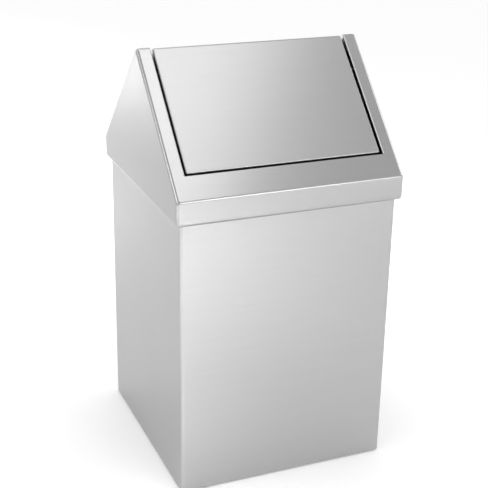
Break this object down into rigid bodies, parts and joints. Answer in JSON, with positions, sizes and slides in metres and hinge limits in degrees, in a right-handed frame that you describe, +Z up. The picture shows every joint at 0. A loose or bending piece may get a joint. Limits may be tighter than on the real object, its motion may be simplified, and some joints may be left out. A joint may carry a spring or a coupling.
{
  "type": "swing-lid trash can",
  "caption": "Square sheet-steel waste bin with a lift-off roof-shaped hood and a V-shaped lid that swings both ways on pivots under the ridge.",
  "frame": {"origin": "on the floor under the middle of the bin", "axes": "+Z up, the front faces -Y, +X to the right of someone who looks at the front; the lid turns about an axis along X under the ridge"},
  "size_m": [0.344, 0.344, 0.63],
  "materials": {
    "satin_steel": "satin",
    "plain_steel": "mill",
    "zinc_hardware": "plated",
    "black_rivets": "black oxide",
    "nylon": "matte",
    "rubber": "matte"
  },
  "bodies": {
    "bin_body": {"body_wrap": "satin_steel", "rear_panel": "satin_steel", "base_pan": "plain_steel", "foot_front_left": "rubber", "foot_front_right": "rubber", "foot_rear_left": "rubber", "foot_rear_right": "rubber", "foot_screws": "zinc_hardware", "foot_washers": "zinc_hardware", "foot_nuts": "zinc_hardware"},
    "hood": {"gable_left": "satin_steel", "gable_right": "satin_steel", "front_apron": "satin_steel", "rear_apron": "satin_steel", "seat_strip_front": "plain_steel", "seat_strip_rear": "plain_steel", "seat_strip_left": "plain_steel", "seat_strip_right": "plain_steel", "pivot_plate_left": "plain_steel", "pivot_plate_right": "plain_steel", "pivot_plate_rivets": "black_rivets", "pivot_screw_left": "zinc_hardware", "pivot_screw_right": "zinc_hardware", "pivot_nut_left": "zinc_hardware", "pivot_nut_right": "zinc_hardware", "stop_peg_left": "zinc_hardware", "stop_peg_right": "zinc_hardware", "stop_sleeve_left": "rubber", "stop_sleeve_right": "rubber"},
    "lid": {"lid_panel": "satin_steel", "lid_gusset_left": "plain_steel", "lid_gusset_right": "plain_steel", "lid_gusset_rivets": "black_rivets", "pivot_bush_left": "nylon", "pivot_bush_right": "nylon"}
  },
  "joints": [
    {"name": "hood_lift", "type": "slide", "parent": "bin_body", "child": "hood", "axis": [0, 0, 1], "range_m": [0, 0.25]},
    {"name": "lid_swing", "type": "hinge", "parent": "hood", "child": "lid", "pos_m": [0, 0, 0.60292], "axis": [1, 0, 0], "range_deg": [-60, 60]}
  ]
}
